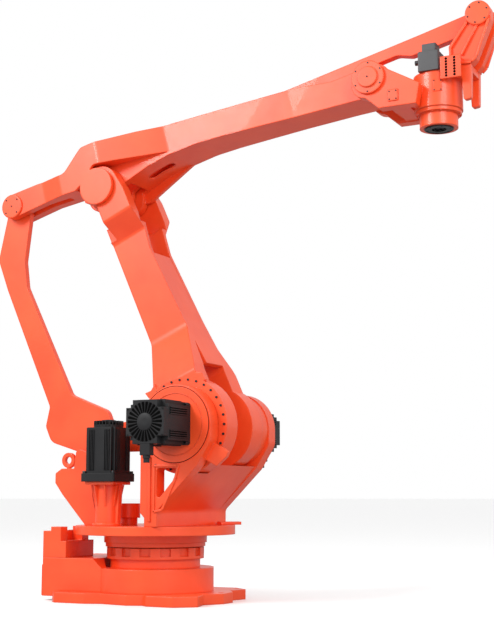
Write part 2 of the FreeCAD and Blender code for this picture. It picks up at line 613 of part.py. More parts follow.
def levelling_web():
    web = Piece("levelling_web", ELBOW, 0, S.tilt)
    tie, head = in_link_frame(-S.tie_x, S.tie_z), in_link_frame(S.head_x, S.head_z)
    root, eye = S.web_root, S.bar_eye
    blade = [(-root, -root, root - 4), (root, -root, root - 4), (root + 12, 12, 20), (240, 68, 60),
             (370, 92, 60), (head[0] + eye, head[1] - eye, eye - 2), (head[0] + eye, head[1] + eye, eye - 2),
             (300, 140, 60), (-root, root + 2, root - 12)]
    for low, high in ((-S.web_near, -S.web_in), (S.web_far, S.web_out)):
        web.pad("XZ", low, high, (outline, blade))
        web.pad("XZ", low, high, (lever, tie, S.tie_eye, (0, 0), root - 2))
    web.pad("XZ", -S.fore_half + 4, S.fore_half - 4, (circle, 0, 0, S.centre_pin))
    web.pad("XZ", -S.web_in, S.web_far, (circle, *tie, S.tie_pin))
    web.pad("XZ", -S.web_in, S.web_far, (circle, *head, S.bar_pin))


def tie_rod():
    rod = Piece("tie_rod", TIE_FOOT, 0, S.lean)
    top = S.arm_long
    rod.pad("XZ", S.tie_near, S.tie_far, (circle, 0, 0, S.tie_eye))
    rod.pad("XZ", S.tie_near, S.tie_far, (circle, 0, top, S.tie_eye))
    rod.pad("XZ", S.tie_near, S.tie_far, (box, -S.tie_half, S.tie_half, 0, top))
    rod.pocket("XZ", S.tie_near, S.tie_far, (circle, 0, 0, S.tie_pin + S.seat_gap),
               (circle, 0, top, S.tie_pin + S.open_gap))


def upper_link():
    bar = Piece("upper_link", BAR_FOOT, 0, S.tilt)
    eye, head, long = S.bar_eye, S.head_eye, S.fore_long
    path = [(-eye, -eye, eye - 1), (60, -eye, 30), (140, -10, 60), (long - 394, -8, 60), (long - 334, -38, 40),
            (long + head, -head, head - 1), (long + head, head, head - 1), (long - 270, 40), (300, S.bar_top, 100),
            (90, 40, 60), (-eye, eye, eye - 1)]
    bar.pad("XZ", -S.bar_half, S.bar_half, (outline, path))
    bar.pocket("XZ", -S.bar_half, S.bar_half, (circle, 0, 0, S.bar_pin + S.seat_gap),
               (circle, long, 0, S.bar_pin + S.open_gap))


# ---------------------------------------------------------------- forearm

def forearm_plan():
    back, near, far = -S.tail_x - S.tail_rad - 5, -S.fore_half, S.fore_half
    tip = S.fore_long + S.tip_rad + 5
    return [(tip, -S.tip_half), (tip, S.tip_half), (1000, S.tip_half, 200), (370, far, 60), (-130, far),
            (-130, -S.tongue_far, 10), (back, -S.tongue_far), (back, -S.tongue_near), (-186, -S.tongue_near, 8),
            (-186, -S.prong_in, 8), (back, -S.prong_in), (back, -S.prong_out), (-300, -S.prong_out, 60),
            (-190, -S.cap_out, 60), (40, -S.cap_out, 60), (370, near, 60), (1000, -S.tip_half, 200)]


def forearm_side():
    tail, rad, tip = -S.tail_x, S.tail_rad, S.fore_long + S.tip_rad
    return [(tip, -S.tip_rad, S.tip_rad - 14), (tip, S.tip_rad - 6, S.tip_rad - 14), (1210, 78, 150), (1040, 118, 150),
            (800, 145, 500), (415, 186, 500), (240, 203, 300), (30, 214, 60), (-40, 214, 40), (-78, 186, 30),
            (-160, 122, 60), (-330, 138, 100), (tail - rad, S.tail_z + rad, rad - 2),
            (tail - rad, S.tail_z - rad, rad - 2), (-300, 30, 100), (-104, 16),
            (-98, -94, 66), (98, -94, 66), (84, -6, 10), (246, 32, 80), (355, 45, 150), (510, 46, 300),
            (640, 34, 300), (846, 8, 300), (1240, -44, 300)]


def trough_outline():
    thick = S.floor_thick
    return [(-108, 260), (-108, 38), (-145, 20), (-145, -130), (118, -130), (118, 4 + thick, 4), (246, 30 + thick), (355, 52),
            (570, 52), (640, 34 + thick), (846, 8 + thick), (1240, -44 + thick),
            (S.fore_long - 70, -50 + thick, 20), (S.fore_long - 70, 44, 20), (S.fore_long + 120, 44),
            (S.fore_long + 120, 260)]


def forearm():
    arm = Piece("forearm_casting", ELBOW, 0, S.tilt)
    arm.pad("XY", -140, 240, (outline, forearm_plan()))
    arm.pocket("XZ", -FAR / 8, FAR / 8, (box, -700, S.fore_long + 200, -200, 300), (outline, forearm_side()))
    swing = [(-106, -140), (400, -140), (400, 56), (120, 94, 60), (0, 108, 60), (-106, 108)]
    arm.pocket("XZ", -S.cap_in, -S.fore_half, (outline, swing), (circle, 0, 0, S.elbow_pin))
    open_side = [(-112, -140), (400, -140), (400, 56), (120, 94, 60), (0, 108, 30), (-30, 60, 20), (-112, 18)]
    arm.pocket("XZ", -S.cap_out, -S.cap_in, (outline, open_side))
    arm.pad("XZ", -S.cap_out, -S.cap_in + 1, (circle, 0, 0, S.cap_rad))
    arm.pad("XZ", S.cap_in - 1, S.cap_out, (circle, 0, 0, S.cap_rad))
    arm.pad("XZ", S.fore_half, S.cap_in, (circle, 0, 0, S.elbow_pin))
    arm.pocket("XZ", -S.trough, S.trough, (outline, trough_outline()))
    arm.pocket("XZ", -S.fore_half + 3, S.fore_half - 3, (circle, 0, 0, S.centre_pin + S.seat_gap))
    web = [(380, 46), (110, -56), (60, -50), (90, 0), (246, 34)]
    arm.pad("XZ", S.fore_half - 20, S.fore_half, (outline, web))
    hole = [(186, -28, 24), (330, -28, 24), (330, 28, 24), (186, 28, 24)]
    arm.pocket("XY", 0, 80, (outline, hole))
    arm.pocket("XZ", -S.tip_half - 1, S.tip_half + 1, (circle, S.fore_long, 0, S.wrist_pin + S.seat_gap))
    tail = (-S.tail_x, S.tail_z)
    arm.pad("XZ", -S.prong_in, -S.tongue_near, (circle, *tail, S.pin_rad))


# ---------------------------------------------------------------- wrist

def cheek_outline():
    rad, low = S.cheek_rad, S.case_low - 6
    return [(-rad, -rad, rad - 18), (-17, -88, 20), (44, -low), (210, -low), (226, -54), (46, 50, 30),
            (20, rad, 36), (-rad, rad, rad - 4)]


def wrist_casting():
    wrist = Piece("wrist_casting", WRIST)
    for low, high in ((-S.cheek_out, -S.cheek_in), (S.cheek_in, S.cheek_out)):
        wrist.pad("XZ", low, high, (outline, cheek_outline()))
    web = [(112, -S.case_low + 34), (200, -S.case_low + 6), (200, -34), (112, -22)]
    wrist.pad("XZ", -S.cheek_in, S.cheek_in, (outline, web))
    for low, high in ((-S.strut_out, -S.strut_out + 26), (S.strut_out - 26, S.strut_out)):
        wrist.pad("XZ", low, high, (outline, [(396, -134, 8), (428, -130, 8), (432, S.deck_top), (340, S.deck_top),
                                              (340, -20), (390, -34)]))
    wrist.pad("XZ", -S.strut_out, S.strut_out, (box, size(300), size(430), S.deck_top - 30, S.deck_top))
    wrist.pad("XY", -S.case_low, S.case_top, (circle, S.tool_x, 0, S.case_rad))
    wrist.pad("XY", -S.ring_low, -S.case_low, (circle, S.tool_x, 0, S.ring_rad))
    wrist.pad("XY", -S.neck_low, -S.ring_low, (circle, S.tool_x, 0, S.neck_rad))
    wrist.pocket("XY", -S.neck_low, -S.flange_face + S.flange_deep + S.seat_gap,
                 (circle, S.tool_x, 0, S.flange_rad + S.seat_gap))
    wrist.pocket("XZ", -S.cheek_out, S.cheek_out, (circle, 0, 0, S.wrist_pin + S.seat_gap))


def wrist_axle():
    """The wrist's cross pin, with its stepped caps outside the cheeks."""
    axle = Piece("wrist_axle", WRIST)
    axle.pad("XZ", -S.cheek_out, S.cheek_out, (circle, 0, 0, S.wrist_pin))
    for side in (-1, 1):
        ends = sorted((side * S.cheek_out, side * S.boss_out), key=lambda end: end.value)
        axle.pad("XZ", *ends, (circle, 0, 0, S.boss_rad))
        ends = sorted((side * S.boss_out, side * S.hub_cap_out), key=lambda end: end.value)
        axle.pad("XZ", *ends, (circle, 0, 0, S.hub_cap_rad))


def strut(name, side):
    part = Piece(name, WRIST)
    rad, top = S.head_rad, S.deck_top
    path = [(340, top), (432, top), (452, top + 20, 20), (S.head_x + rad, S.head_z - 30, 20),
            (S.head_x + rad, S.head_z + rad, rad - 2), (S.head_x - rad, S.head_z + rad, rad - 2),
            (S.head_x - rad, S.head_z - 18, 30), (336, 108, 20)]
    low, high = sorted((side * S.strut_in, side * S.strut_out), key=lambda end: end.value)
    part.pad("XZ", low, high, (outline, path))
    if side < 0:
        part.pad("XZ", -S.strut_in, S.strut_in, (circle, S.head_x, S.head_z, S.bar_pin))


def wrist_motor():
    motor = Piece("wrist_motor", WRIST)
    half = S.wmotor_side / 2
    motor.pad("XY", S.case_top, S.wmotor_top, (box, S.wmotor_x - half, S.wmotor_x + half,
                                               -S.wmotor_y - half, -S.wmotor_y + half, 5))
    cap = Piece("wrist_motor_cap", WRIST)
    half = S.wcap_side / 2
    cap.pad("XY", S.wmotor_top, S.wcap_top, (box, S.wmotor_x - half, S.wmotor_x + half,
                                             -S.wmotor_y - half, -S.wmotor_y + half, 5))


def tool_plates():
    plate = Piece("connector_plate", WRIST)
    out = S.strut_out + 32
    plate.pad("XZ", -out - 6, -out, (box, size(308), size(398), size(-42), size(56)))
    plate.pad("XZ", -out, -S.strut_out, (box, size(348), size(392), S.deck_top + 4, size(50)))
    cover = Piece("cheek_cover", WRIST)
    cover.pad("XZ", -S.cheek_out - 4, -S.cheek_out, (box, size(86), size(132), size(-119), size(-68), 3))


def tool_flange():
    flange = Piece("tool_flange", (WRIST[0] + S.tool_x, WRIST[1]))
    face, back = -S.flange_face, -S.flange_face + S.flange_deep
    flange.pad("XY", face, back, (circle, 0, 0, S.flange_rad))
    flange.pocket("XY", face, face + S.pilot_deep, (circle, 0, 0, S.pilot_rad))
    hole = flange.pocket("XY", face, face + 16, (circle, S.bolt_circle / 2, 0, S.bolt_hole))
    flange.ring_pattern(hole, S.bolt_count)


# ---------------------------------------------------------------- whole robot

def build():
    base_plate()
    base_casting()
    connection_box()
    connector_panel()
    castellated_ring()
    slew_collar()
    swivel_plate()
    front_stop()
    turret_casting()
    drives()
    side_motor("shoulder", -1)
    side_motor("elbow", 1)
    yaw_drive()
    reducer_pot()
    lifting_lug()
    lifting_eye()
    tie_post()
    lower_arm()
    crank()
    crank_pin()
    rear_link()
    levelling_web()
    tie_rod()
    upper_link()
    forearm()
    wrist_casting()
    wrist_axle()
    strut("near_strut", -1)
    strut("far_strut", 1)
    wrist_motor()
    tool_plates()
    tool_flange()


def check_document():
    DOC.recompute()
    for thing in DOC.Objects:
        if "Invalid" in thing.State or "Error" in thing.State:
            raise RuntimeError(f"{thing.Name} failed")
    for body in PIECES:
        if body.Shape.isNull() or not body.Shape.isValid():
            raise RuntimeError(f"{body.Label} has no valid shape")


def export():
    os.makedirs("parts", exist_ok=True)
    for body in PIECES:
        body.Shape.exportStep(f"parts/{body.Label}.step")
        print(f"{body.Label}: {len(body.Shape.Solids)} solid, {body.Shape.Volume / 1e6:.2f} litres")


build()
check_document()
export()
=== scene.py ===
import json
import math

import bmesh
import bpy
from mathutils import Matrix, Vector


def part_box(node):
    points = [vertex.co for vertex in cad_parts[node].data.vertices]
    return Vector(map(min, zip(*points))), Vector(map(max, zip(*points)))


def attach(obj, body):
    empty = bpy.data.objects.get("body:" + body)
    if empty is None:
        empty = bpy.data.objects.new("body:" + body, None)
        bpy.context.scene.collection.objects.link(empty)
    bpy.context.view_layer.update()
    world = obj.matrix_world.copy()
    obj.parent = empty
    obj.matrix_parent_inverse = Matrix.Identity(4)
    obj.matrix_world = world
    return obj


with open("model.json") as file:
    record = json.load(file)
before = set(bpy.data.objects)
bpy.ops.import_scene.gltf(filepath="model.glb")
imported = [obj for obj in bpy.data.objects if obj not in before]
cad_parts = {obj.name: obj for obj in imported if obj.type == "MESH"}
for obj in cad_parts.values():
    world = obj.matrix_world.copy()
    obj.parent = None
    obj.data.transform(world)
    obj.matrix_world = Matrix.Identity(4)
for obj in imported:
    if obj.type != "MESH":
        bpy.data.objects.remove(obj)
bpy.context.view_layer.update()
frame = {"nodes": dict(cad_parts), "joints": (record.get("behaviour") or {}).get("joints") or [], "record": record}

# Looks for the palletizing robot: materials, screws, fan slots, cooling ribs, floor, lights and camera, with
# painted shade in the fan slots, rib grooves and connector holes.
# Lengths are in metres, in the row frame.

nodes = frame["nodes"]
pivot = {joint["name"]: Vector(joint["pos_m"]) for joint in frame["joints"]}
SHOULDER, ELBOW, WRIST = pivot["shoulder"], pivot["elbow"], pivot["wrist_level"]
NEAR, FAR_SIDE, UP, DOWN = Vector((0, -1, 0)), Vector((0, 1, 0)), Vector((0, 0, 1)), Vector((0, 0, -1))
REAR = Vector((-1, 0, 0))

FORE_TILT = math.radians(14.0)
HUB_FACE_NEAR, HUB_FACE_FAR = 0.252, 0.155    # faces of the lower arm's cheeks, out from the middle
EAR_FACE, COVER_FACE = 0.325, 0.329           # faces of the ears and of their round covers
AXLE_FACE, AXLE_CAP_FACE = 0.162, 0.170       # faces of the wrist axle's boss and its small cap
STRUT_FACE = 0.075                            # outer faces of the wrist struts
STRUT_HEAD = Vector((0.467, 0, 0.233))        # strut head pivot, from the wrist axle
TAIL = (-0.493, -0.182, 0.080)                # forearm tail pivot, in the forearm's own frame
YAW_CENTRE = Vector((-0.117, -0.230, 0))      # axis of the turning motor
SINK = 0.0002                                 # how far a raised ring starts inside the face under it


# ------------------------------------------------------------------ mesh tools

def in_frame(origin, tilt, u, y, v):
    """A point of a link's own frame: u forward, y across, v up, turned up by tilt about the pivot."""
    c, s = math.cos(tilt), math.sin(tilt)
    return origin + Vector((u * c - v * s, y, u * s + v * c))


def basis(axis):
    """Two directions that make a right-handed frame with axis."""
    axis = Vector(axis).normalized()
    side = UP.cross(axis)
    side = Vector((1, 0, 0)) if side.length < 0.1 else side.normalized()
    return side, axis.cross(side), axis


def ring_points(centre, axis, radius, count, turn=0.0, sides=None):
    """Points round a circle, or round a polygon with that many sides when sides is given."""
    a, b, _ = basis(axis)
    points = []
    for i in range(count):
        angle = turn + 2 * math.pi * i / count
        reach = radius
        if sides:
            part = math.pi / sides
            reach = radius * math.cos(part) / math.cos((angle - turn) % (2 * part) - part)
        points.append(Vector(centre) + (a * math.cos(angle) + b * math.sin(angle)) * reach)
    return points


def loft(bm, rings):
    """A skin over closed rings of points, with both ends capped."""
    made = [[bm.verts.new(point) for point in ring] for ring in rings]
    for low, high in zip(made, made[1:]):
        count = len(low)
        for i in range(count):
            j = (i + 1) % count
            bm.faces.new((low[i], low[j], high[j], high[i]))
    bm.faces.new(list(reversed(made[0])))
    bm.faces.new(made[-1])


def turned(bm, centre, axis, profile, count):
    """A solid of revolution: profile is a list of (radius, height along axis)."""
    axis = Vector(axis).normalized()
    loft(bm, [ring_points(Vector(centre) + axis * height, axis, radius, count) for radius, height in profile])


def tube_ring(bm, centre, axis, inner, outer, height, count=96):
    """A flat raised ring with a square section and chamfered top edges."""
    axis = Vector(axis).normalized()
    edge = height * 0.4
    profile = [(inner, 0), (outer, 0), (outer, height - edge), (outer - edge, height),
               (inner + edge, height), (inner, height - edge)]
    rings = [ring_points(Vector(centre) + axis * h, axis, r, count) for r, h in profile]
    made = [[bm.verts.new(p) for p in ring] for ring in rings]
    for k, low in enumerate(made):
        high = made[(k + 1) % len(made)]
        for i in range(count):
            j = (i + 1) % count
            bm.faces.new((low[i], low[j], high[j], high[i]))


def cap_screw(bm, centre, axis, radius, height):
    """Socket head screw: a head with a chamfer and a six-sided socket."""
    axis = Vector(axis).normalized()
    count, centre = 24, Vector(centre)
    rings = [ring_points(centre + axis * h, axis, r, count) for r, h in
             ((radius, 0), (radius, height * 0.85), (radius * 0.9, height), (radius * 0.66, height))]
    socket = radius * 0.56
    rings.append(ring_points(centre + axis * height, axis, socket, count, sides=6))
    rings.append(ring_points(centre + axis * height * 0.35, axis, socket, count, sides=6))
    loft(bm, rings)


def chamfered_box(bm, centre, half, frame3=None, chamfer=0.1):
    """A box with all its edges chamfered, half sizes along the frame's three directions."""
    dirs = frame3 or (Vector((1, 0, 0)), Vector((0, 1, 0)), Vector((0, 0, 1)))
    cut = chamfer * min(half)
    centre = Vector(centre)

    def level(height, shrink):
        a, b = half[0] - shrink, half[1] - shrink
        corners = ((-a, -b + cut), (-a + cut, -b), (a - cut, -b), (a, -b + cut), (a, b - cut), (a - cut, b),
                   (-a + cut, b), (-a, b - cut))
        return [centre + dirs[0] * x + dirs[1] * y + dirs[2] * height for x, y in corners]

    top = half[2]
    loft(bm, [level(-top, cut), level(-top + cut, 0), level(top - cut, 0), level(top, cut)])


def finish_piece(bm, name, body, material, smooth=True):
    """Makes the mesh an object that rides on a body and takes its finish from a material slot."""
    bmesh.ops.recalc_face_normals(bm, faces=bm.faces)
    mesh = bpy.data.meshes.new(name)
    bm.to_mesh(mesh)
    bm.free()
    for poly in mesh.polygons:
        poly.use_smooth = smooth
    piece = bpy.data.objects.new(name, mesh)
    bpy.context.scene.collection.objects.link(piece)
    mesh.materials.append(material)
    if smooth:
        mesh.set_sharp_from_angle(angle=math.radians(35))
    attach(piece, body)


# ------------------------------------------------------------------ materials

def shader(name, color, rough, metallic=0.0, coat=0.0, specular=0.5):
    material = bpy.data.materials.new(name)
    material.use_nodes = True
    tree = material.node_tree
    bsdf = tree.nodes["Principled BSDF"]
    bsdf.inputs["Base Color"].default_value = (*color, 1)
    bsdf.inputs["Roughness"].default_value = rough
    bsdf.inputs["Metallic"].default_value = metallic
    bsdf.inputs["Coat Weight"].default_value = coat
    bsdf.inputs["Specular IOR Level"].default_value = specular
    return material, tree, bsdf


def noise(tree, scale, detail, source):
    node = tree.nodes.new("ShaderNodeTexNoise")
    node.inputs["Scale"].default_value = scale
    node.inputs["Detail"].default_value = detail
    tree.links.new(source, node.inputs["Vector"])
    return node.outputs["Fac"]


def ramp(tree, fac, low, high):
    node = tree.nodes.new("ShaderNodeValToRGB")
    node.color_ramp.elements[0].position, node.color_ramp.elements[1].position = 0.35, 0.65
    node.color_ramp.elements[0].color = (*low, 1)
    node.color_ramp.elements[1].color = (*high, 1)
    tree.links.new(fac, node.inputs["Fac"])
    return node.outputs["Color"]


def surface(name, dark, light, rough, bump, grain, metallic=0.0, coat=0.0, round_edge=0.0,
            specular=0.5):
    """Two close tones in broad clouds, a fine grain in bump, uneven gloss, and softened edges."""
    material, tree, bsdf = shader(name, light, rough[0], metallic, coat, specular)
    place = tree.nodes.new("ShaderNodeTexCoord").outputs["Object"]
    clouds = noise(tree, 5.0, 4, place)
    tree.links.new(ramp(tree, clouds, dark, light), bsdf.inputs["Base Color"])
    gloss = tree.nodes.new("ShaderNodeMapRange")
    gloss.inputs["To Min"].default_value, gloss.inputs["To Max"].default_value = rough
    tree.links.new(noise(tree, 14.0, 5, place), gloss.inputs["Value"])
    tree.links.new(gloss.outputs["Result"], bsdf.inputs["Roughness"])
    bumps = tree.nodes.new("ShaderNodeBump")
    bumps.inputs["Strength"].default_value = bump
    bumps.inputs["Distance"].default_value = 0.001
    tree.links.new(noise(tree, grain, 3, place), bumps.inputs["Height"])
    if round_edge:
        soft = tree.nodes.new("ShaderNodeBevel")
        soft.samples = 6
        soft.inputs["Radius"].default_value = round_edge
        tree.links.new(soft.outputs["Normal"], bumps.inputs["Normal"])
    tree.links.new(bumps.outputs["Normal"], bsdf.inputs["Normal"])
    return material


PAINT = surface("orange_paint", (0.86, 0.068, 0.012), (0.93, 0.088, 0.018), (0.34, 0.46), 0.12, 420,
                coat=0.12, round_edge=0.007)
BLACK = surface("motor_black", (0.009, 0.009, 0.01), (0.016, 0.016, 0.017), (0.45, 0.62), 0.35, 600,
                round_edge=0.003, specular=0.3)
GREY = surface("motor_grey", (0.042, 0.042, 0.044), (0.058, 0.058, 0.061), (0.4, 0.55), 0.3, 600,
               round_edge=0.003)
# Near-black used as painted shade in the fan slots, between the motor ribs and in the connector holes, and as the
# dark seams round the ear covers.
SHADE_AND_SEAM = surface("shade_and_seam_black", (0.001, 0.001, 0.001), (0.002, 0.002, 0.002), (0.8, 0.95), 0.2, 500,
               specular=0.05)
STEEL = surface("machined_steel", (0.42, 0.42, 0.43), (0.52, 0.52, 0.53), (0.26, 0.4), 0.15, 900,
                metallic=1.0)
FLANGE = surface("black_oxide", (0.014, 0.014, 0.015), (0.03, 0.03, 0.032), (0.3, 0.45), 0.2, 700,
                 metallic=0.6, round_edge=0.002)
SCREW = surface("black_screw", (0.03, 0.03, 0.032), (0.06, 0.06, 0.062), (0.3, 0.45), 0.2, 900,
                metallic=0.7)

by_slot = {"paint": PAINT, "motor_black": BLACK, "motor_grey": GREY, "machined_steel": STEEL,
           "flange_black": FLANGE}
slot_of = {part["node"]: part["material_slot"] for part in frame["record"]["subparts"]}
for node_name, thing in nodes.items():
    wanted = by_slot[slot_of[node_name]]
    if not thing.material_slots:
        thing.data.materials.append(wanted)
    for held in thing.material_slots:
        held.material = wanted


# ------------------------------------------------------------------ details

def four_screws(bm, centre, a, b, axis, radius, height):
    """Cap screws at the corners of a rectangle, a and b from its centre."""
    for sa in (-1, 1):
        for sb in (-1, 1):
            cap_screw(bm, Vector(centre) + a * sa + b * sb, axis, radius, height)


def motor_fan(name, body, centre, axis, size):
    """Tapered radial slot openings round a plain hub on a motor's fan cover, drawn as thin near-black plates of
    painted shade, and its screws.
    """
    a, b, axis = basis(axis)
    centre = Vector(centre)
    inner, outer, count, tip_rounding = size * 0.21, size * 0.46, 26, size * 0.02
    root_half, tip_half = size * 0.013, size * 0.032
    slots = bmesh.new()
    for k in range(count):
        angle = 2 * math.pi * k / count
        out = a * math.cos(angle) + b * math.sin(angle)
        side = axis.cross(out)
        outline = [out * inner - side * root_half, out * inner + side * root_half]
        for turn in (math.pi / 2, math.pi / 4, 0, -math.pi / 4, -math.pi / 2):
            reach = outer - tip_rounding + tip_rounding * math.cos(turn)
            outline.append(out * reach + side * tip_half * math.sin(turn))
        # Each slot is a thin near-black plate on the cover: painted shade, not an opening.
        loft(slots, [[centre + p + axis * height for p in outline] for height in (-0.001, 0.0006)])
    finish_piece(slots, f"{name}_fan_slot_shade", body, SHADE_AND_SEAM, smooth=False)
    hub = bmesh.new()
    dome = [(inner * 0.95, 0), (inner * 0.95, 0.003), (inner * 0.88, 0.0048), (inner * 0.3, 0.005)]
    turned(hub, centre, axis, dome, 48)
    for k in range(count):
        angle = 2 * math.pi * (k + 0.5) / count
        out = a * math.cos(angle) + b * math.sin(angle)
        middle = centre + out * (inner + outer) / 2 + axis * 0.001
        land = ((outer - inner) / 2, size * 0.006, 0.0018)
        chamfered_box(hub, middle, land, (out, axis.cross(out), axis), 0.4)
    four_screws(hub, centre, a * size * 0.46, b * size * 0.3, axis, 0.004, 0.004)
    finish_piece(hub, f"{name}_fan_hub", body, BLACK)


def motor_ribs(name, body, low, high, axis_index, wall_axes):
    """Cooling ribs along a motor's body: a band of four near each edge of each wall, with a near-black strip under
    each band as painted shade between the ribs.
    """
    low, high = Vector(low), Vector(high)
    centre, half = (low + high) / 2, (high - low) / 2
    ribs, groove_shade = bmesh.new(), bmesh.new()
    for wall in wall_axes:
        across = 3 - axis_index - wall
        for side in (-1, 1):
            for band in (-1, 1):
                spot, size = centre.copy(), [0, 0, 0]
                spot[wall] = centre[wall] + side * (half[wall] + 0.0004)
                spot[across] = centre[across] + band * half[across] * 0.53
                size[wall], size[across] = 0.001, half[across] * 0.17
                size[axis_index] = half[axis_index] * 0.88
                # A thin near-black strip under each band of ribs: painted shade in the gaps between them.
                chamfered_box(groove_shade, spot, size, chamfer=0.3)
                spot[wall] = centre[wall] + side * (half[wall] + 0.0018)
                size[wall], size[across] = 0.003, half[across] * 0.026
                size[axis_index] = half[axis_index] * 0.9
                for k in range(4):
                    spot[across] = centre[across] + band * half[across] * (0.38 + 0.1 * k)
                    chamfered_box(ribs, spot, size, chamfer=0.3)
    finish_piece(ribs, f"{name}_ribs", body, BLACK, smooth=False)
    finish_piece(groove_shade, f"{name}_grooves", body, SHADE_AND_SEAM, smooth=False)


def side_motor_details(name, axis):
    low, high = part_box(f"{name}_motor")
    fan_low, fan_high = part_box(f"{name}_fan_cover")
    centre = (low + high) / 2
    near, flange, end_gap = axis.y < 0, 0.016, Vector((0, 0.004, 0))
    face = fan_low.y if near else fan_high.y
    size = fan_high.x - fan_low.x
    motor_fan(name, "turret", (centre.x, face, centre.z), axis, size)
    body_low, body_high = low.copy(), high.copy()
    (body_high if near else body_low).y += axis.y * 0.018
    motor_ribs(name, "turret", body_low + end_gap, body_high - end_gap, 1, (0, 2))
    flange_y = high.y - flange if near else low.y + flange
    corner = size * 0.44
    bm = bmesh.new()
    four_screws(bm, (centre.x, flange_y, centre.z), Vector((corner, 0, 0)), UP * corner, axis, 0.0085, 0.011)
    finish_piece(bm, f"{name}_motor_screws", "turret", SCREW)
    bm = bmesh.new()
    out = (fan_low.y + fan_high.y) / 2
    chamfered_box(bm, (centre.x, out, low.z - 0.022), (0.024, 0.0175, 0.026))
    plug = [(0.016, 0), (0.016, 0.012), (0.013, 0.014), (0.013, 0.03)]
    turned(bm, (centre.x, out, low.z - 0.048), DOWN, plug, 24)
    finish_piece(bm, f"{name}_connector", "turret", BLACK)


def yaw_motor_details():
    low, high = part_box("yaw_motor")
    _, cap_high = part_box("yaw_fan_cover")
    centre = (low + high) / 2
    half_body, flange_high, vanes = 0.076, 0.036, 26
    body_low = Vector((centre.x - half_body, centre.y - half_body, low.z + flange_high + 0.004))
    body_high = Vector((centre.x + half_body, centre.y + half_body, high.z))
    motor_ribs("yaw_motor", "turret", body_low, body_high, 2, (0, 1))
    top = Vector((centre.x, centre.y, cap_high.z))
    bm = bmesh.new()
    for k in range(vanes):
        angle = 2 * math.pi * k / vanes
        d = Vector((math.cos(angle), math.sin(angle), 0))
        chamfered_box(bm, top + d * 0.045 - UP * 0.012, (0.022, 0.0022, 0.0125), (d, UP.cross(d), UP), 0.3)
    turned(bm, top - UP * 0.002, UP, [(0.034, 0), (0.034, 0.004), (0.03, 0.007), (0.012, 0.009)], 40)
    finish_piece(bm, "yaw_fan_vanes", "turret", BLACK, smooth=False)
    bm = bmesh.new()
    corner = (high.x - low.x) / 2 * 0.86
    spot = (centre.x, centre.y, low.z + flange_high)
    four_screws(bm, spot, Vector((corner, 0, 0)), Vector((0, corner, 0)), UP, 0.0085, 0.011)
    finish_piece(bm, "yaw_motor_screws", "turret", SCREW)


def screw_ring(name, body, centre, axis, radius, count, size, turn=0.0, height=None, middle=None):
    """Dark cap screws evenly round a circle, and one more at middle where it is given."""
    bm = bmesh.new()
    height = height or size * 0.8
    for point in ring_points(centre, axis, radius, count, turn):
        cap_screw(bm, point, axis, size, height)
    if middle:
        cap_screw(bm, middle, axis, size, height)
    finish_piece(bm, name, body, SCREW)


def arm_details():
    screw_ring("hub_screws", "lower_arm", SHOULDER + NEAR * HUB_FACE_NEAR, NEAR, 0.200, 30, 0.0055)
    screw_ring("hub_screws_far", "lower_arm", SHOULDER + FAR_SIDE * HUB_FACE_FAR, FAR_SIDE, 0.178, 30, 0.0055)
    for side, name in ((NEAR, "near"), (FAR_SIDE, "far")):
        face = SHOULDER + side * (COVER_FACE - SINK)
        bm = bmesh.new()
        tube_ring(bm, face, side, 0.1638, 0.1662, 0.0012)
        finish_piece(bm, f"{name}_cover_seam", "turret", SHADE_AND_SEAM)
        bm = bmesh.new()
        tube_ring(bm, face, side, 0.132, 0.137, 0.002)
        finish_piece(bm, f"{name}_cover_ring", "turret", PAINT)
        boss, cap = WRIST + side * AXLE_FACE, WRIST + side * AXLE_CAP_FACE
        screw_ring(f"{name}_wrist_screws", "wrist", boss, side, 0.064, 6, 0.0036, 0.5, 0.003, cap)


def plate(bm, outline, thickness, out):
    """A flat plate: an outline of points, thickened along out."""
    out = Vector(out).normalized()
    loft(bm, [[Vector(p) for p in outline], [Vector(p) + out * thickness for p in outline]])


def strip(bm, start, end, half_wide, out, high):
    """A raised bead along a face, with chamfered sides."""
    start, end, out = Vector(start), Vector(end), Vector(out).normalized()
    along = (end - start).normalized()
    middle = (start + end) / 2 + out * high / 2
    half = ((end - start).length / 2, half_wide, high / 2)
    chamfered_box(bm, middle, half, (along, out.cross(along), out), 0.35)


def link_ends():
    tail = in_frame(ELBOW, FORE_TILT, *TAIL)
    bm = bmesh.new()
    turned(bm, tail, NEAR, [(0.059, 0), (0.059, 0.006), (0.056, 0.009), (0.02, 0.0095)], 64)
    finish_piece(bm, "tail_pivot_cap", "forearm", PAINT)
    cap_face = tail + NEAR * 0.009
    screw_ring("tail_pivot_screws", "forearm", cap_face, NEAR, 0.045, 4, 0.0038, math.pi / 4, 0.003, cap_face)
    beads = [((0.346, 0.100), (0.420, 0.204)), ((0.438, 0.026), (0.458, 0.046)),
             ((0.458, 0.046), (0.514, 0.204)), ((0.392, 0.060), (0.466, 0.190)),
             ((0.344, 0.030), (0.434, 0.024)), ((0.345, 0.030), (0.345, 0.100))]
    for side, name in ((NEAR, "near"), (FAR_SIDE, "far")):
        spot = WRIST + STRUT_HEAD + side * STRUT_FACE
        bm = bmesh.new()
        turned(bm, spot, side, [(0.0535, 0), (0.0535, 0.013), (0.051, 0.0155), (0.02, 0.016)], 64)
        finish_piece(bm, f"{name}_head_cap", "wrist", PAINT)
        screw_ring(f"{name}_head_screws", "wrist", spot + side * 0.0155, side, 0.043, 6, 0.0036, 0.3, 0.003)
        bm = bmesh.new()
        foot = WRIST + side * (STRUT_FACE - 0.0005)
        for (x0, z0), (x1, z1) in beads:
            strip(bm, foot + Vector((x0, 0, z0)), foot + Vector((x1, 0, z1)), 0.0055, side, 0.011)
        finish_piece(bm, f"{name}_strut_ribs", "wrist", PAINT)


